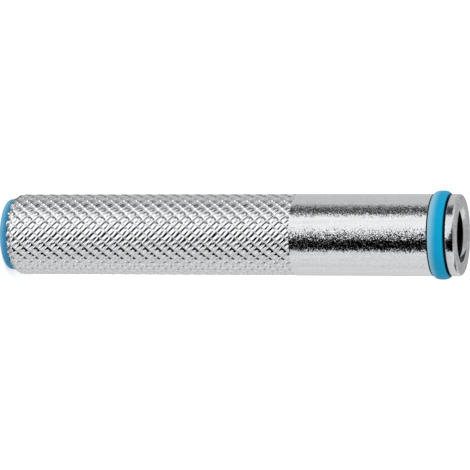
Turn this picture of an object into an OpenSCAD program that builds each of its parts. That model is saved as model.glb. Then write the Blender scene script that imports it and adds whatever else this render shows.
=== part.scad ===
// Internally threaded anchor sleeve for setting in resin mortar.
// The sleeve stands on its end plug, with +Z along its axis towards the threaded mouth
// and the origin at the centre of the plug's flat outer face. All sizes are in millimetres.

/* [Sleeve] */
// Length of the steel sleeve without its plug
sleeve_len = 85; // [70:1:130]
// Diameter of the plain shank
shank_d = 15; // [14:0.5:18]
// Height of the chamfer at the rear end
rear_chamfer_h = 1.1; // [0.6:0.1:2]
// Diameter of the rear end face inside its chamfer
rear_face_d = 13.7; // [13.2:0.1:14]
// Rounding of the outer edge at the mouth
mouth_round = 0.4; // [0.1:0.05:0.6]

/* [Bore] */
// Diameter of the bore that carries the thread, 8.5 for an M10 thread
bore_d = 8.5; // [6.8:0.1:8.8]
// Diameter of the countersink at the mouth
countersink_d = 10.4; // [9.6:0.1:11]
// Depth of the countersink
countersink_depth = 1; // [0.4:0.05:1.2]
// Diameter of the seat for the end plug at the rear of the bore
plug_seat_d = 9.2; // [8.9:0.1:9.6]
// Depth of that seat
plug_seat_depth = 7; // [5:0.5:14]

/* [Knurl] */
// Number of grooves in each direction round the sleeve
groove_count = 20; // [12:1:24]
// Length of plain shank between the knurl and the mouth
plain_len = 30.7; // [20:0.1:40]
// Depth of a groove in the middle of a pad's side
groove_depth = 0.25; // [0.1:0.05:0.5]
// Width of a groove at the surface, measured across it
groove_w = 0.45; // [0.2:0.05:0.8]

/* [Centring ring] */
// Outer diameter of the plastic ring
ring_d = 16.2; // [15.8:0.1:19]
// Width of the ring along the sleeve
ring_w = 2.9; // [2:0.05:3.4]
// Rounding of the ring's outer edges
ring_round = 0.75; // [0.2:0.05:0.9]
// Distance from the mouth to the nearest side of the ring
ring_from_mouth = 2.15; // [1.5:0.05:4]
// Gap between the ring and the groove wall on the mouth side
gap_mouth_side = 0.4; // [0.05:0.05:0.6]
// Gap between the ring and the groove wall on the knurl side
gap_knurl_side = 0.1; // [0.05:0.05:0.6]
// Diameter of the groove's floor, which the ring grips
groove_floor_d = 12.8; // [12:0.1:13.5]

/* [End plug] */
// Diameter of the plug's flange
flange_d = 13.1; // [12:0.1:13.2]
// Thickness of the flange, which the sleeve stands on
flange_h = 1.35; // [1:0.05:2]
// Rounding of the flange's outer edge
flange_round = 0.45; // [0.1:0.05:0.5]
// Length of the stem pressed into its seat in the sleeve
stem_len = 6; // [4:0.5:7]
// Height of the taper that leads the stem into the seat
stem_lead_h = 1.2; // [0.5:0.1:2]
// Diameter of the hollow inside the stem
stem_hollow_d = 5; // [3:0.1:5.5]

/* [Hidden] */
zinc = [0.78, 0.79, 0.80];
ring_blue = [0.05, 0.60, 0.80];
plug_blue = [0.16, 0.54, 0.76];
$fn = 96;

shank_r = shank_d / 2;
bore_r = bore_d / 2;
plug_seat_r = plug_seat_d / 2;
rear_z = flange_h;
mouth_z = rear_z + sleeve_len;
knurl_end_z = mouth_z - plain_len;

// Two families of grooves climb at 45 degrees in opposite directions and leave a raised pad in each
// cell of the lattice. The grooves cross in rows half a spacing apart along the axis, and both ends
// of the knurl are cut half way between two rows.
// The pads come up to the shank's surface, less a hair that keeps the two surfaces apart.
pad_r = shank_r - 0.02;
groove_bottom_r = pad_r - groove_depth;
cell_turn = 360 / groove_count;
spacing = PI * shank_d / groove_count;
pad_share = 1 - groove_w / (spacing * cos(45));
rows_in_knurl = round(2 * (knurl_end_z - rear_z) / spacing);
row_h = (knurl_end_z - rear_z) / rows_in_knurl;
rows = rows_in_knurl + 3;
lattice_z = rear_z - 1.5 * row_h;

groove_top_z = mouth_z - ring_from_mouth + gap_mouth_side;
groove_bottom_z = mouth_z - ring_from_mouth - ring_w - gap_knurl_side;
ring_mid_z = mouth_z - ring_from_mouth - ring_w / 2;
ring_r = ring_d / 2;
groove_floor_r = groove_floor_d / 2;

// A point on a cylinder of radius r, turned by t degrees from +X.
function on_cylinder(r, t, z) = [r * cos(t), r * sin(t), z];
// Direction of crossing i of a row: every second row is turned by half a cell.
function crossing_turn(row, i) = (i + (row % 2) / 2) * cell_turn;

// Numbers of the points: a crossing of two grooves, and the four corners of a pad.
LEFT = 0;
RIGHT = 1;
UP = 2;
DOWN = 3;
function crossing(row, i) = row * groove_count + (i + groove_count) % groove_count;
function pad(row, i, corner) =
    (rows + 1) * groove_count + ((row - 1) * groove_count + i) * 4 + corner;
// The crossings above and below the pad that follows crossing i.
function above(row, i) = crossing(row + 1, i + row % 2);
function below(row, i) = crossing(row - 1, i + row % 2);

// A closed bar with the whole lattice of pads on it, a row and a half longer at each end than the knurl.
module knurled_bar() {
    crossings = [
        for (row = [0 : rows], i = [0 : groove_count - 1])
            on_cylinder(groove_bottom_r, crossing_turn(row, i), lattice_z + row * row_h)
    ];
    pad_corners = [
        for (row = [1 : rows - 1], i = [0 : groove_count - 1])
            let (
                t = crossing_turn(row, i) + cell_turn / 2,
                z = lattice_z + row * row_h,
                half_turn = pad_share * cell_turn / 2,
                half_h = pad_share * row_h
            )
            each [
                on_cylinder(pad_r, t - half_turn, z),
                on_cylinder(pad_r, t + half_turn, z),
                on_cylinder(pad_r, t, z + half_h),
                on_cylinder(pad_r, t, z - half_h)
            ]
    ];
    cell_faces = [
        for (row = [1 : rows - 1], i = [0 : groove_count - 1])
            let (
                l = crossing(row, i), r = crossing(row, i + 1), u = above(row, i), d = below(row, i),
                pl = pad(row, i, LEFT), pr = pad(row, i, RIGHT),
                pu = pad(row, i, UP), pd = pad(row, i, DOWN)
            )
            each [
                [pl, pu, pd], [pr, pd, pu],
                [l, u, pu], [l, pu, pl], [u, r, pr], [u, pr, pu],
                [r, d, pd], [r, pd, pr], [d, l, pl], [d, pl, pd]
            ]
    ];
    end_faces = [
        for (i = [0 : groove_count - 1])
            each [
                [crossing(0, i), above(0, i), crossing(0, i + 1)],
                [crossing(rows, i), crossing(rows, i + 1), below(rows, i)]
            ]
    ];
    bottom_cap = [[for (i = [0 : groove_count - 1]) crossing(0, i)]];
    top_cap = [[for (i = [groove_count - 1 : -1 : 0]) crossing(rows, i)]];
    polyhedron(
        points = concat(crossings, pad_corners),
        faces = concat(cell_faces, end_faces, bottom_cap, top_cap)
    );
}

// The turned outline under the knurl: a chamfer at the rear and a square end at the plain shank.
module knurl_blank() {
    translate([0, 0, rear_z])
        cylinder(h = rear_chamfer_h, d1 = rear_face_d, d2 = shank_d + 0.2);
    translate([0, 0, rear_z + rear_chamfer_h])
        cylinder(h = knurl_end_z - rear_z - rear_chamfer_h, d = shank_d + 0.2);
}

module plain_shank() {
    translate([0, 0, knurl_end_z])
        cylinder(h = plain_len - mouth_round, r = shank_r);
    translate([0, 0, mouth_z - mouth_round])
        cylinder(h = mouth_round, r1 = shank_r, r2 = shank_r - mouth_round);
}

module ring_groove() {
    translate([0, 0, groove_bottom_z])
        difference() {
            cylinder(h = groove_top_z - groove_bottom_z, r = shank_r + 1);
            translate([0, 0, -1]) cylinder(h = groove_top_z - groove_bottom_z + 2, r = groove_floor_r);
        }
}

module sleeve() {
    color(zinc)
        difference() {
            union() {
                intersection() {
                    knurl_blank();
                    knurled_bar();
                }
                plain_shank();
            }
            translate([0, 0, rear_z - 1]) cylinder(h = sleeve_len + 2, r = bore_r);
            translate([0, 0, rear_z - 1]) cylinder(h = plug_seat_depth + 1, r = plug_seat_r);
            translate([0, 0, mouth_z - countersink_depth])
                cylinder(h = countersink_depth, r1 = bore_r, d2 = countersink_d);
            ring_groove();
        }
}

module centring_ring() {
    color(ring_blue)
        translate([0, 0, ring_mid_z])
            rotate_extrude() {
                translate([groove_floor_r, -ring_w / 2])
                    square([ring_r - ring_round - groove_floor_r, ring_w]);
                translate([ring_r - ring_round, ring_round - ring_w / 2])
                    square([ring_round, ring_w - 2 * ring_round]);
                for (side = [-1, 1])
                    translate([ring_r - ring_round, side * (ring_w / 2 - ring_round)])
                        circle(ring_round);
            }
}

module end_plug() {
    color(plug_blue)
        difference() {
            union() {
                rotate_extrude() {
                    square([flange_d / 2 - flange_round, flange_h]);
                    translate([flange_d / 2 - flange_round, flange_round])
                        square([flange_round, flange_h - flange_round]);
                    translate([flange_d / 2 - flange_round, flange_round]) circle(flange_round);
                }
                cylinder(h = flange_h + stem_len - stem_lead_h, r = plug_seat_r);
                translate([0, 0, flange_h + stem_len - stem_lead_h])
                    cylinder(h = stem_lead_h, r1 = plug_seat_r, r2 = plug_seat_r - 0.6);
            }
            translate([0, 0, flange_h + 0.6]) cylinder(h = stem_len, d = stem_hollow_d);
        }
}

sleeve();
centring_ring();
end_plug();
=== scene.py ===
"""Looks of the internally threaded anchor sleeve: zinc-plated steel with a rolled knurl,
a blue centring ring near the mouth and a blue end plug. Lengths are metres, and mm is one millimetre."""

import math

import bmesh
import bpy
from mathutils import Matrix, Vector


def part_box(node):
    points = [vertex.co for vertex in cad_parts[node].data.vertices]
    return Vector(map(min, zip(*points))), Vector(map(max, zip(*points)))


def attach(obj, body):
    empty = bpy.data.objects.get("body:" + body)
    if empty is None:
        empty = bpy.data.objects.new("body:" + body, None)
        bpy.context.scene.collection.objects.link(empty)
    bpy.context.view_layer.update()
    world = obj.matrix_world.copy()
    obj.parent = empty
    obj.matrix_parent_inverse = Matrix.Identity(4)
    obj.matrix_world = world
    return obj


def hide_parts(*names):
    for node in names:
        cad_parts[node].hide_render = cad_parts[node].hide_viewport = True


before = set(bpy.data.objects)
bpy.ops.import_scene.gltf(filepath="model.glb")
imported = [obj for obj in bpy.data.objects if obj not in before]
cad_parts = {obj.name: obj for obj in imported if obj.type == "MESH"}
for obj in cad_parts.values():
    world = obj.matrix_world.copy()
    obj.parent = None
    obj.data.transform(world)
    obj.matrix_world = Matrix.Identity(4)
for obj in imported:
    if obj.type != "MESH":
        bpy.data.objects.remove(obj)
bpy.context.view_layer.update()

mm = 0.001
TURN = 2 * math.pi
scene = bpy.context.scene

# Points nearer than this are one point
same_point = 0.002 * mm
# Corners sharper than this stay crisp
crisp_angle = math.radians(35)
# Steps round a turned piece of plastic
steps_round = 128

# Main sizes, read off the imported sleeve, ring and plug
sleeve_low, sleeve_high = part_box("sleeve")
ring_low, ring_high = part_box("centring_ring")
plug_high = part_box("end_plug")[1]
shank_r = sleeve_high.x
rear_z = sleeve_low.z
mouth_z = sleeve_high.z

# Knurl: two families of grooves at 45 degrees, with a raised pad in each cell of the lattice.
# The pads end a hair below the plain shank.
groove_count = 20
plain_len = 30.7 * mm
knurl_end_z = mouth_z - plain_len
pad_r = shank_r - 0.005 * mm
row_h = math.pi * shank_r / groove_count
cell_turn = TURN / groove_count
first_row_z = rear_z - 0.33 * mm
first_row_turn = math.radians(-92.1)
rows = math.ceil((knurl_end_z - first_row_z) / row_h) + 2

# Rear end: the chamfer, and the seat for the plug's stem
rear_face_r = 6.85 * mm
rear_chamfer_h = 1.1 * mm
rear_chamfer_w = shank_r - rear_face_r
plug_seat_r = 4.6 * mm
plug_seat_z = rear_z + 7 * mm

# Groove for the centring ring, with a gap on each side of the ring
gap_mouth_side = 0.4 * mm
gap_knurl_side = 0.1 * mm
groove_top_z = ring_high.z + gap_mouth_side
groove_bottom_z = ring_low.z - gap_knurl_side
groove_floor_r = 6.4 * mm
edge_break = 0.1 * mm

# Mouth and M10 thread
mouth_round = 0.6 * mm
thread_pitch = 1.5 * mm
thread_crest_r = 4.25 * mm
thread_root_r = 5.0 * mm
thread_depth_z = mouth_z - 61 * mm
thread_run_out = 1.5 * mm
thread_start = math.radians(84)
countersink_r = 5.2 * mm
countersink_depth = 0.75 * mm
countersink_slope = (countersink_r - thread_crest_r) / countersink_depth


def add_object(bm, name):
    """Makes a bmesh an object at the origin."""
    mesh = bpy.data.meshes.new(name)
    bm.to_mesh(mesh)
    bm.free()
    made = bpy.data.objects.new(name, mesh)
    scene.collection.objects.link(made)
    return made


def finish_mesh(bm, name):
    """Closes a bmesh, turns it outward and makes it an object with crisp corners.

    Large faces lead the shading round their edges, so that flats look flat beside a small rounding."""
    bmesh.ops.remove_doubles(bm, verts=bm.verts, dist=same_point)
    bmesh.ops.recalc_face_normals(bm, faces=bm.faces)
    for f in bm.faces:
        f.smooth = True
    for e in bm.edges:
        e.smooth = e.calc_face_angle(0) < crisp_angle
    piece = add_object(bm, name)
    flats = piece.modifiers.new("flats", "WEIGHTED_NORMAL")
    flats.mode = "FACE_AREA"
    flats.weight = 50
    flats.keep_sharp = True
    return piece


def everything(bm):
    """All the parts of a bmesh, as its operators want them."""
    return bm.verts[:] + bm.edges[:] + bm.faces[:]


def cut(bm, z, clear_above=False, clear_below=False):
    """Adds an edge round the mesh at height z, and clears what lies above or below it if asked."""
    bmesh.ops.bisect_plane(
        bm, geom=everything(bm), dist=0.001 * mm, plane_co=(0, 0, z), plane_no=(0, 0, 1),
        clear_outer=clear_above, clear_inner=clear_below,
    )


def rim(bm, z):
    """The open edges that lie at height z."""
    return [
        e for e in bm.edges
        if e.is_boundary and all(abs(v.co.z - z) < same_point for v in e.verts)
    ]


def set_radius(v, r):
    """Moves a vertex straight out or in to radius r."""
    reach = math.hypot(v.co.x, v.co.y)
    v.co.x *= r / reach
    v.co.y *= r / reach


def carry_on(bm, edges, outline):
    """Extrudes an open rim through an outline of (radius, height) points, and returns the last rim."""
    for r, z in outline:
        made = bmesh.ops.extrude_edge_only(bm, edges=edges)["geom"]
        for v in made:
            if isinstance(v, bmesh.types.BMVert):
                set_radius(v, r)
                v.co.z = z
        edges = [e for e in made if isinstance(e, bmesh.types.BMEdge) and e.is_boundary]
    return edges


def arc(centre, radius, start, end, count):
    """Points on an arc, as (radius, height), between two angles in degrees."""
    angles = [math.radians(start + (end - start) * i / count) for i in range(count + 1)]
    return [(centre[0] + radius * math.cos(t), centre[1] + radius * math.sin(t)) for t in angles]


def turned(bm, outline):
    """Spins an outline of (radius, height) points right round the axis."""
    verts = [bm.verts.new((r, 0, z)) for r, z in outline]
    edges = [bm.edges.new(pair) for pair in zip(verts, verts[1:])]
    bmesh.ops.spin(
        bm, geom=verts + edges, cent=(0, 0, 0), axis=(0, 0, 1), angle=TURN, steps=steps_round,
        use_merge=True,
    )


def along(points, share):
    """Height of a line through (share, height) points."""
    if share <= points[0][0]:
        return points[0][1]
    for (from_share, from_h), (to_share, to_h) in zip(points, points[1:]):
        if share <= to_share:
            return from_h + (to_h - from_h) * (share - from_share) / (to_share - from_share)
    return points[-1][1]


def knurl_depth(a, b):
    """How far the surface lies below the highest pads, at a and b across a cell, each from 0 to 1.

    The first family of grooves runs where a is 0 or 1, and the second where b is. Both are lopsided,
    with a long easy slope on one side and a short steep wall on the other. Each pad carries a shorter
    groove beside the first family's, which splits it in two."""
    first_family = (
        (0, 0.08), (0.05, 0.13), (0.10, 0.13), (0.16, 0.08), (0.25, 0.055), (0.35, 0.03), (0.80, 0),
        (0.87, 0.01), (0.93, 0.035), (1, 0.08),
    )
    second_family = (
        (0, 0.16), (0.05, 0.125), (0.11, 0.025), (0.18, 0), (0.65, 0), (0.78, 0.03), (0.88, 0.075),
        (1, 0.16),
    )
    pad_groove = ((0.42, 0), (0.53, 0.08), (0.60, 0.14), (0.65, 0.10), (0.70, 0.02), (0.75, 0))
    pad_groove_fade = (
        (0, 0), (0.05, 0.2), (0.11, 0.65), (0.18, 0.75), (0.65, 0.95), (0.78, 0.3), (0.88, 0),
    )
    in_pad = along(pad_groove, a) * along(pad_groove_fade, b)
    return (along(first_family, a) + along(second_family, b) + in_pad) * mm


def stop_at(stops, share):
    """The stop that an evenly spaced share, from 0 to 1, stands for."""
    return stops[round(share * (len(stops) - 1))]


def knurled_band(bm):
    """The rolled lattice of pads as one open tube, longer at both ends than the knurl."""
    stops_a = (0, 0.05, 0.10, 0.16, 0.25, 0.42, 0.53, 0.60, 0.65, 0.70, 0.80, 0.92, 1)
    stops_b = (0, 0.05, 0.11, 0.18, 0.65, 0.78, 0.88, 1)
    made = bmesh.ops.create_grid(
        bm, x_segments=len(stops_a) - 1, y_segments=len(stops_b) - 1, size=0.5
    )
    for v in made["verts"]:
        a = stop_at(stops_a, v.co.x + 0.5)
        b = stop_at(stops_b, v.co.y + 0.5)
        turn = first_row_turn + (a - b) * cell_turn / 2
        r = pad_r - knurl_depth(a, b)
        v.co = (r * math.cos(turn), r * math.sin(turn), first_row_z + (a + b - 1) * row_h)
    bmesh.ops.spin(
        bm, geom=everything(bm), cent=(0, 0, 0), axis=(0, 0, 1), angle=TURN - cell_turn,
        steps=groove_count - 1, use_duplicate=True,
    )
    bmesh.ops.remove_doubles(bm, verts=bm.verts, dist=same_point)
    row_of_cells = everything(bm)
    for row in range(1, rows):
        copied = bmesh.ops.duplicate(bm, geom=row_of_cells)["geom"]
        half_cell = Matrix.Rotation(cell_turn / 2 * (row % 2), 4, "Z")
        bmesh.ops.transform(
            bm,
            matrix=Matrix.Translation((0, 0, row * row_h)) @ half_cell,
            verts=[g for g in copied if isinstance(g, bmesh.types.BMVert)],
        )
    bmesh.ops.remove_doubles(bm, verts=bm.verts, dist=same_point)


def rear_chamfer(bm):
    """Draws the rear end in to the chamfer's cone, with the knurl running out over it a little deeper."""
    cone_steps = 4
    deeper = 0.8
    for i in range(1, cone_steps + 1):
        cut(bm, rear_z + rear_chamfer_h * i / cone_steps)
    slope = rear_chamfer_w / rear_chamfer_h
    for v in bm.verts:
        drawn_in = rear_chamfer_w - (v.co.z - rear_z) * slope
        if drawn_in > 0:
            depth = pad_r - math.hypot(v.co.x, v.co.y)
            set_radius(v, pad_r - drawn_in - depth * (1 + deeper * drawn_in / rear_chamfer_w))


def thread_turns(bm):
    """The inside thread as an open tube, from the countersink's edge down to its run-out."""
    flank_h = (thread_root_r - thread_crest_r) * math.tan(math.radians(30))
    crest_h = 0.3 * thread_pitch
    low_z = thread_depth_z - 2 * thread_pitch
    outline = [
        (thread_crest_r, low_z),
        (thread_crest_r, low_z + crest_h),
        (thread_root_r, low_z + crest_h + flank_h),
        (thread_root_r, low_z + thread_pitch - flank_h),
        (thread_crest_r, low_z + thread_pitch),
    ]
    steps_a_turn = 48
    turns = math.ceil((mouth_z - low_z) / thread_pitch)
    start = Vector((math.cos(thread_start), math.sin(thread_start), 0))
    verts = [bm.verts.new(start * r + Vector((0, 0, z))) for r, z in outline]
    edges = [bm.edges.new(pair) for pair in zip(verts, verts[1:])]
    bmesh.ops.spin(
        bm, geom=verts + edges, cent=(0, 0, 0), axis=(0, 0, 1),
        dvec=(0, 0, thread_pitch / steps_a_turn), angle=turns * TURN, steps=turns * steps_a_turn,
    )
    bmesh.ops.remove_doubles(bm, verts=bm.verts, dist=same_point)
    cut(bm, mouth_z, clear_above=True)
    cut(bm, thread_depth_z, clear_below=True)
    cone_steps = 8
    for i in range(1, cone_steps + 1):
        cut(bm, mouth_z - countersink_depth * i / cone_steps)
    for v in bm.verts:
        r = math.hypot(v.co.x, v.co.y)
        fade = min(1, (v.co.z - thread_depth_z) / thread_run_out)
        faded_r = thread_crest_r + (r - thread_crest_r) * fade
        set_radius(v, max(faded_r, countersink_r - (mouth_z - v.co.z) * countersink_slope))


def steel_sleeve():
    """The sleeve in one skin: knurl, plain shank, ring groove, mouth, thread, plug seat and rear face."""
    bm = bmesh.new()
    knurled_band(bm)
    cut(bm, rear_z, clear_below=True)
    cut(bm, knurl_end_z, clear_above=True)
    rear_chamfer(bm)
    shank = [
        (shank_r, knurl_end_z),
        *arc((shank_r - edge_break, groove_bottom_z - edge_break), edge_break, 0, 90, 6),
        (groove_floor_r, groove_bottom_z),
        (groove_floor_r, groove_top_z),
        *arc((shank_r - edge_break, groove_top_z + edge_break), edge_break, -90, 0, 6),
        *arc((shank_r - mouth_round, mouth_z - mouth_round), mouth_round, 0, 90, 7),
    ]
    mouth_rim = carry_on(bm, rim(bm, knurl_end_z), shank)
    rear_rim = carry_on(
        bm, rim(bm, rear_z), [(plug_seat_r, rear_z), (plug_seat_r, plug_seat_z)]
    )
    thread = bmesh.new()
    thread_turns(thread)
    held = bpy.data.meshes.new("thread_turns")
    thread.to_mesh(held)
    thread.free()
    bm.from_mesh(held)
    bpy.data.meshes.remove(held)
    thread_top = [e for e in rim(bm, mouth_z) if e not in set(mouth_rim)]
    bmesh.ops.bridge_loops(bm, edges=mouth_rim + thread_top)
    thread_bottom = carry_on(bm, rim(bm, thread_depth_z), [(thread_crest_r, plug_seat_z)])
    bmesh.ops.bridge_loops(bm, edges=rear_rim + thread_bottom)
    return finish_mesh(bm, "anchor_sleeve")


def centring_ring():
    """The plastic ring: a band with a domed outside that grips the floor of its groove."""
    ring_r = ring_high.x
    half_w = (ring_high.z - ring_low.z) / 2
    middle_z = (ring_high.z + ring_low.z) / 2
    dome_h = 0.95 * mm
    dome_steps = 24
    # At 1 the dome is half an oval, and below 1 it is fuller
    fullness = 2 / 2.7
    outline = [(groove_floor_r, middle_z - half_w)]
    for i in range(dome_steps + 1):
        t = math.pi * i / dome_steps
        across = -math.copysign(abs(math.cos(t)) ** fullness, math.cos(t))
        outline.append((ring_r - dome_h + dome_h * math.sin(t) ** fullness, middle_z + half_w * across))
    outline += [(groove_floor_r, middle_z + half_w), outline[0]]
    bm = bmesh.new()
    turned(bm, outline)
    return finish_mesh(bm, "ring_band")


def end_plug():
    """The plastic plug: a flange with a rounded edge, and a hollow stem pressed into its seat."""
    flange_r = plug_high.x
    flange_round = 0.45 * mm
    stem_lead_h = 1.2 * mm
    stem_lead_w = 0.6 * mm
    hollow_r = 2.5 * mm
    hollow_floor_z = rear_z + 0.6 * mm
    outline = [
        (0, 0),
        *arc((flange_r - flange_round, flange_round), flange_round, -90, 0, 6),
        *arc((flange_r - edge_break, rear_z - edge_break), edge_break, 0, 90, 6),
        (plug_seat_r, rear_z),
        (plug_seat_r, plug_high.z - stem_lead_h),
        (plug_seat_r - stem_lead_w, plug_high.z),
        (hollow_r, plug_high.z),
        (hollow_r, hollow_floor_z),
        (0, hollow_floor_z),
    ]
    bm = bmesh.new()
    turned(bm, outline)
    return finish_mesh(bm, "stopper")


class Wire:
    """A number in a node tree, so that sums on it read as plain arithmetic."""

    def __init__(self, recipe, socket):
        self.recipe = recipe
        self.socket = socket

    def also(self, name):
        """Another output of the same node."""
        return Wire(self.recipe, self.socket.node.outputs[name])

    def __add__(self, other):
        return self.recipe.maths("ADD", self, other)

    def __radd__(self, other):
        return self.recipe.maths("ADD", other, self)

    def __sub__(self, other):
        return self.recipe.maths("SUBTRACT", self, other)

    def __rsub__(self, other):
        return self.recipe.maths("SUBTRACT", other, self)

    def __mul__(self, other):
        return self.recipe.maths("MULTIPLY", self, other)

    def __rmul__(self, other):
        return self.recipe.maths("MULTIPLY", other, self)


class Recipe:
    """The node tree of a finish or of the light around the object, filled one node at a time."""

    def __init__(self, holder):
        holder.use_nodes = True
        self.tree = holder.node_tree
        self.tree.nodes.clear()

    def node(self, kind, settings=None, inputs=None, output=0):
        """Adds a node, sets it, then fills or wires its sockets."""
        made = self.tree.nodes.new("ShaderNode" + kind)
        for name, value in (settings or {}).items():
            setattr(made, name, value)
        for name, value in (inputs or {}).items():
            if isinstance(value, Wire):
                self.tree.links.new(value.socket, made.inputs[name])
            else:
                made.inputs[name].default_value = value
        return Wire(self, made.outputs[output]) if made.outputs else None

    def maths(self, operation, *values):
        """A Math node on one, two or three values."""
        return self.node("Math", {"operation": operation}, dict(enumerate(values)))

    def vector(self, operation, *values):
        """A Vector Math node on one or two vectors."""
        return self.node("VectorMath", {"operation": operation}, dict(enumerate(values)))

    def scaled(self, vector, amount):
        """A vector with its length multiplied."""
        return self.node("VectorMath", {"operation": "SCALE"}, {"Vector": vector, "Scale": amount})

    def axes(self, vector):
        """The X of a vector, with its Y and Z as other outputs."""
        return self.node("SeparateXYZ", {}, {"Vector": vector})

    def radius(self, place):
        """How far a place is from the sleeve's axis."""
        across = self.vector("MULTIPLY", place, (1, 1, 0))
        return self.node("VectorMath", {"operation": "LENGTH"}, {0: across}, "Value")

    def ease(self, value, low, high):
        """Goes smoothly from 0 at low to 1 at high."""
        return self.node(
            "MapRange", {"interpolation_type": "SMOOTHSTEP"},
            {"Value": value, "From Min": low, "From Max": high},
        )

    def mix(self, share, colour, other):
        """Goes from one colour to the other as share goes from 0 to 1."""
        return self.node(
            "Mix", {"data_type": "RGBA"}, {"Factor": share, "A": colour, "B": other}, "Result"
        )

    def grain(self, place, scale, detail=2.0):
        """Noise from 0 to 1 at a scale in features a metre."""
        return self.node("TexNoise", {}, {"Vector": place, "Scale": scale, "Detail": detail})


def rolling_marks(recipe, place):
    """Height of the fine ridges that rolling leaves along the first family of grooves, from 0 to 1."""
    ridges_a_cell = 4
    axes = recipe.axes(place)
    turn = recipe.maths("ARCTAN2", axes.also("Y"), axes)
    along_axis = (axes.also("Z") - first_row_z) * (1 / row_h) + 1
    cells = (along_axis + (turn - first_row_turn) * (2 / cell_turn)) * 0.5
    uneven = recipe.grain(place, 900)
    wave = recipe.maths("SINE", (cells * ridges_a_cell + uneven) * TURN)
    return (wave * 0.5 + 0.5) * recipe.grain(place, 1300)


def recesses(recipe, place):
    """Share of the painted shade: the ring's groove, and the bore below its countersink."""
    height = recipe.axes(place).also("Z")
    radius = recipe.radius(place)
    in_bore = 1 - recipe.ease(radius, countersink_r, countersink_r + 0.1 * mm)
    over_cone = radius - countersink_r + (mouth_z - height) * countersink_slope
    under_cone = recipe.ease(over_cone, 0.03 * mm, 0.1 * mm)
    under_skin = 1 - recipe.ease(radius, shank_r - 0.02 * mm, shank_r + 0.02 * mm)
    above_wall = recipe.ease(height, groove_bottom_z - 0.16 * mm, groove_bottom_z - 0.06 * mm)
    below_wall = 1 - recipe.ease(height, groove_top_z, groove_top_z + 0.06 * mm)
    in_groove = (1 - in_bore) * under_skin * above_wall * below_wall
    return in_bore * under_cone + in_groove


def plating_tilt(recipe, place, plain, land, face):
    """Small tilts of the plating's grain, mostly along the axis, and across it on the mouth's face.

    They are faint on the knurl, full on the plain shank and softer on the land at the mouth."""
    facets = recipe.node("TexVoronoi", {}, {"Vector": place, "Scale": 6500}, "Color")
    ripple = recipe.grain(place, 12000, 1.0).also("Color")
    off_facet = recipe.vector("SUBTRACT", facets, (0.5, 0.5, 0.12))
    off_ripple = recipe.vector("SUBTRACT", ripple, (0.5, 0.5, 0.5))
    skin_tilt = recipe.vector(
        "ADD", recipe.vector("MULTIPLY", off_facet, (0.13, 0.13, 0.24)),
        recipe.vector("MULTIPLY", off_ripple, (0.08, 0.08, 0.40)),
    )
    face_tilt = recipe.vector("MULTIPLY", off_facet, (0.4, 0.4, 0))
    return recipe.vector(
        "ADD", recipe.scaled(skin_tilt, 0.15 + plain * (0.85 - land * 0.4)),
        recipe.scaled(face_tilt, face),
    )


def zinc_plated_steel():
    """Bright zinc plating with a fine grain, streaked along the axis and mottled on the mouth's face.

    It is darker with painted shade and rougher in the ring's groove and the bore, and has dark, rougher
    random spots along the rear edge."""
    streak_grey = (0.69, 0.71, 0.725, 1)
    streak_white = (0.98, 0.99, 1, 1)
    handled_grey = (0.42, 0.44, 0.46, 1)
    # Colour of the painted shade in the groove and bore, and of the rear edge's dark spots
    shade_and_spots_grey = (0.06, 0.06, 0.065, 1)
    finish = bpy.data.materials.new("bright_zinc")
    recipe = Recipe(finish)
    place = recipe.node("TexCoord", output="Object")
    height = recipe.axes(place).also("Z")
    plain = recipe.ease(height, knurl_end_z - 0.05 * mm, knurl_end_z + 0.05 * mm)
    land = recipe.ease(height, groove_top_z - 0.1 * mm, groove_top_z + 0.1 * mm)
    face = recipe.ease(height, mouth_z - 0.4 * mm, mouth_z - 0.05 * mm)
    rear_edge = 1 - recipe.ease(height, rear_z + 0.1 * mm, rear_z + 0.9 * mm)
    patches = recipe.grain(place, 160, 3.0)
    drawn_out = recipe.node("Mapping", {}, {"Vector": place, "Scale": (1, 1, 0.03)})
    streaks = recipe.grain(drawn_out, 2600, 3.0)
    mottles = recipe.grain(place, 1500, 3.0) * 2.2 - 1.0
    # Dark, rougher random spots on the rear edge's chamfer
    rear_edge_spots = recipe.ease(recipe.grain(place, 2200), 0.46, 0.56) * rear_edge
    # Painted shade in the ring's groove and the bore, with the rear edge's dark spots added
    shade_and_spots = recesses(recipe, place) + rear_edge_spots
    bright = recipe.mix(streaks, streak_grey, streak_white)
    bright = recipe.mix(land * 0.2 + face * mottles, bright, handled_grey)
    ridges = rolling_marks(recipe, place) * (1 - plain)
    ridged = recipe.node("Bump", {}, {"Strength": 1.0, "Distance": 0.014 * mm, "Height": ridges})
    tilt = plating_tilt(recipe, place, plain, land, face)
    skin = recipe.node(
        "BsdfPrincipled", {},
        {
            "Base Color": recipe.mix(shade_and_spots, bright, shade_and_spots_grey),
            "Metallic": 1.0,
            "Roughness": 0.06 + patches * 0.06 + shade_and_spots * 0.3 + face * 0.15,
            "Normal": recipe.vector("NORMALIZE", recipe.vector("ADD", ridged, tilt)),
        },
    )
    recipe.node("OutputMaterial", {}, {"Surface": skin})
    return finish


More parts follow.
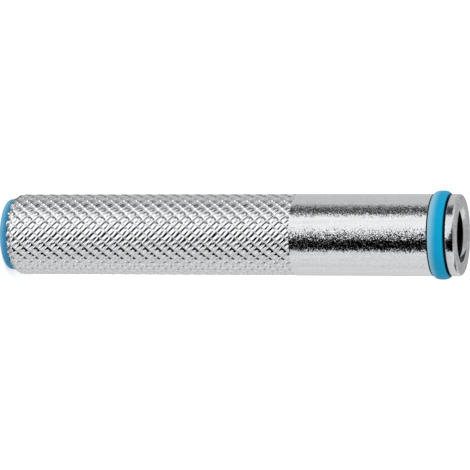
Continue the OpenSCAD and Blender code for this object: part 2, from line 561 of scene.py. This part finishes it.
def moulded_plastic(name, colour, pale, pale_z, full_z, shade_within_r):
    """Satin moulded plastic with a painted sheen that goes from pale at pale_z to its full colour at
    full_z.

    The painted sheen is a little wider towards -X, and all nearer the axis than the given radius is dark
    with painted shade."""
    painted_shade_blue = (0, 0.01, 0.02, 1)
    finish = bpy.data.materials.new(name)
    recipe = Recipe(finish)
    place = recipe.node("TexCoord", output="Object")
    axes = recipe.axes(place)
    cloud = recipe.grain(place, 500, 3.0)
    peel = recipe.grain(place, 2400)
    # Painted sheen: pale on the side towards pale_z, reaching further on the -X side and wavering with
    # the cloud noise
    clouded_height = axes.also("Z") + axes * 0.03 + (cloud - 0.5) * (0.5 * mm)
    painted_sheen = 1 - recipe.ease(clouded_height, pale_z, full_z)
    # Painted shade on all that lies nearer the axis than the given radius: the ring's flanks in its
    # groove, and the plug's stem, hollow and underside
    sunk_shade = 1 - recipe.ease(recipe.radius(place), shade_within_r - 0.15 * mm, shade_within_r + 0.1 * mm)
    tint = recipe.mix(painted_sheen * (0.75 + cloud * 0.5), colour, pale)
    bumped = recipe.node("Bump", {}, {"Strength": 1.0, "Distance": 0.01 * mm, "Height": peel})
    skin = recipe.node(
        "BsdfPrincipled", {},
        {
            "Base Color": recipe.mix(sunk_shade * 0.9, tint, painted_shade_blue),
            "Roughness": 0.4 + cloud * 0.08,
            "IOR": 1.4,
            "Specular IOR Level": 0.15,
            "Normal": bumped,
        },
    )
    recipe.node("OutputMaterial", {}, {"Surface": skin})
    return finish


def light_tent():
    """A pale tent round the object, with one bright side and the black cards that give metal its bands.

    Turns are in degrees round the sleeve from the camera's side, and rises are above the horizon."""
    world = bpy.data.worlds.new("light_tent")
    scene.world = world
    world.cycles.sampling_method = "NONE"
    recipe = Recipe(world)
    direction = recipe.axes(recipe.node("TexCoord", output="Generated"))
    degrees = math.degrees(1)
    turn = recipe.maths("ARCTAN2", direction, direction.also("Y") * -1) * degrees
    rise = recipe.maths("ARCSINE", direction.also("Z")) * degrees

    def card(turn_at, turn_half, rise_from, rise_to, soft=3.0, lean=0.0, spread=0.0, soft_rise=None):
        """Share of a card that stands round turn_at, leaning and spreading with the rise above -15."""
        above = rise + 15
        off = recipe.maths("ABSOLUTE", turn - (turn_at - lean * above)) - spread * above
        across = 1 - recipe.ease(off, turn_half - soft, turn_half + soft)
        soft_rise = soft_rise or soft
        up = recipe.ease(rise, rise_from - soft_rise, rise_from + soft_rise)
        down = 1 - recipe.ease(rise, rise_to - soft_rise, rise_to + soft_rise)
        return across * up * down

    behind = recipe.ease(recipe.maths("ABSOLUTE", turn), 150, 168) * recipe.ease(rise, -4, 8)
    overhead = recipe.ease(rise, 52, 66)
    underneath = 1 - recipe.ease(rise, -76, -68)
    far_grey = card(-135, 25, -60, -18, 10, soft_rise=8)
    far_side = card(-128, 34, -6, 60, 12, soft_rise=5)
    grey_wing = card(-71, 18, -19, 6, 12, soft_rise=3)
    white = card(-22, 33, -95, 36, 4)
    white_low = card(-26, 38, -95, -18, 4, soft_rise=3)
    white_foot = card(-35, 62, -95, -42, 12)
    grey_top = card(28, 30, 10, 75, 8, lean=0.3)
    black_top = card(26, 14, -10, 40, 3, lean=0.45, spread=0.75, soft_rise=8)
    black = card(28.5, 16.5, -19, 30, 2, soft_rise=3)
    back_card = card(108, 20, 4, 58, 8, soft_rise=5)
    near_side = card(95, 50, -60, 40, 12)

    # The tent's own cloth, then each part laid over the ones before it at a level of its own
    level = 0.54 + 0.28 * recipe.ease(rise, -30, 15) + 0.06 * near_side
    for share, own_level in (
        (behind, 0.46),
        (overhead, 0.45),
        (far_grey, 0.14),
        (far_side, 0.55),
        (grey_wing, 0.05),
        (white, 0.96),
        (white_low, 1.4),
        (white_foot, 1.08),
        (underneath, 0.12),
        (grey_top, 0.28),
        (black_top, 0.02),
        (black, 0.0),
        (back_card, 0.16),
    ):
        level = level + share * (own_level - level)

    # The camera sees white, reflections see the tent, and all else sees a plain level
    plain_level = 0.68
    camera = recipe.node("LightPath", output="Is Camera Ray")
    mirrored = camera.also("Is Glossy Ray")
    lit = mirrored * level + (1 - mirrored) * plain_level
    sky = recipe.node(
        "Background", {}, {"Color": (1, 1, 1, 1), "Strength": camera + (1 - camera) * lit}
    )
    recipe.node("OutputWorld", {}, {"Surface": sky})


def pale_floor():
    """A plain pale floor, white to the camera where no shadow falls, and out of the metal's reflections.

    It lies a hair below the plug, so that the two faces don't share a plane."""
    floor_r = 3.0
    below_plug = 0.02 * mm
    bm = bmesh.new()
    bmesh.ops.create_circle(
        bm, cap_ends=True, segments=96, radius=floor_r, matrix=Matrix.Translation((0, 0, -below_plug))
    )
    floor = add_object(bm, "floor")
    floor.visible_glossy = False
    finish = bpy.data.materials.new("pale_floor")
    recipe = Recipe(finish)
    paper = recipe.node("BsdfDiffuse", {}, {"Color": (0.9, 0.9, 0.9, 1)})
    glow = recipe.node("Emission", {}, {"Strength": 0.45})
    camera = recipe.node("LightPath", output="Is Camera Ray")
    lit = recipe.node("AddShader", {}, {0: paper, 1: glow})
    both = recipe.node("MixShader", {}, {0: camera, 1: paper, 2: lit})
    recipe.node("OutputMaterial", {}, {"Surface": both})
    floor.data.materials.append(finish)


def soft_lamp():
    """A big soft lamp up on the photograph's upper side, which gives the plastic its gentle shading."""
    turn = math.radians(-35)
    rise = math.radians(50)
    reach = 0.9
    lamp = bpy.data.lights.new("soft_lamp", "AREA")
    lamp.shape = "DISK"
    lamp.size = 0.7
    lamp.energy = 4
    holder = bpy.data.objects.new("soft_lamp", lamp)
    toward = Vector((
        math.cos(rise) * math.sin(turn), -math.cos(rise) * math.cos(turn), math.sin(rise)
    ))
    holder.location = toward * reach + Vector((0, 0, mouth_z / 2))
    holder.rotation_euler = toward.to_track_quat("Z", "Y").to_euler()
    holder.visible_glossy = False
    scene.collection.objects.link(holder)


def photo_camera():
    """Looks from the front and a little above, with the sleeve lying level and its mouth to the right."""
    rise = math.radians(15.3)
    roll = math.radians(0.12)
    distance = 645 * mm
    target = Vector((0.07 * mm, 0, 43.61 * mm))
    back = Vector((0, -math.cos(rise), math.sin(rise)))
    right = Vector((0, math.sin(rise), math.cos(rise)))
    up = back.cross(right)
    leaned_right = right * math.cos(roll) + up * math.sin(roll)
    leaned_up = up * math.cos(roll) - right * math.sin(roll)
    turn = Matrix((leaned_right, leaned_up, back)).transposed().to_4x4()
    camera = bpy.data.objects.new("photo_camera", bpy.data.cameras.new("photo_camera"))
    camera.data.lens = 268
    camera.data.sensor_width = 36
    camera.data.clip_start = 0.05
    camera.matrix_world = Matrix.Translation(target + back * distance) @ turn
    scene.collection.objects.link(camera)
    scene.camera = camera


sleeve = steel_sleeve()
ring = centring_ring()
plug = end_plug()

steel = zinc_plated_steel()
# The pale colours are painted sheen, on the ring's side towards the knurl and on the plug's flange, and
# each plastic has painted shade within its last radius
ring_blue = moulded_plastic(
    "ring_blue", colour=(0.0, 0.32, 0.56, 1), pale=(0.36, 0.62, 0.72, 1),
    pale_z=ring_low.z - 0.3 * mm, full_z=ring_low.z + 1.7 * mm, shade_within_r=shank_r + 0.08 * mm,
)
plug_blue = moulded_plastic(
    "plug_blue", colour=(0.03, 0.30, 0.55, 1), pale=(0.22, 0.50, 0.70, 1),
    pale_z=0.0, full_z=1.0 * mm, shade_within_r=plug_seat_r,
)
for piece, finish, node, slot in (
    (sleeve, steel, "sleeve", "zinc_plated_steel"),
    (ring, ring_blue, "centring_ring", "ring_plastic"),
    (plug, plug_blue, "end_plug", "plug_plastic"),
):
    piece.data.materials.append(finish)
    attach(piece, "root")
    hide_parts(node)

light_tent()
pale_floor()
soft_lamp()
photo_camera()
scene.view_settings.view_transform = "Standard"
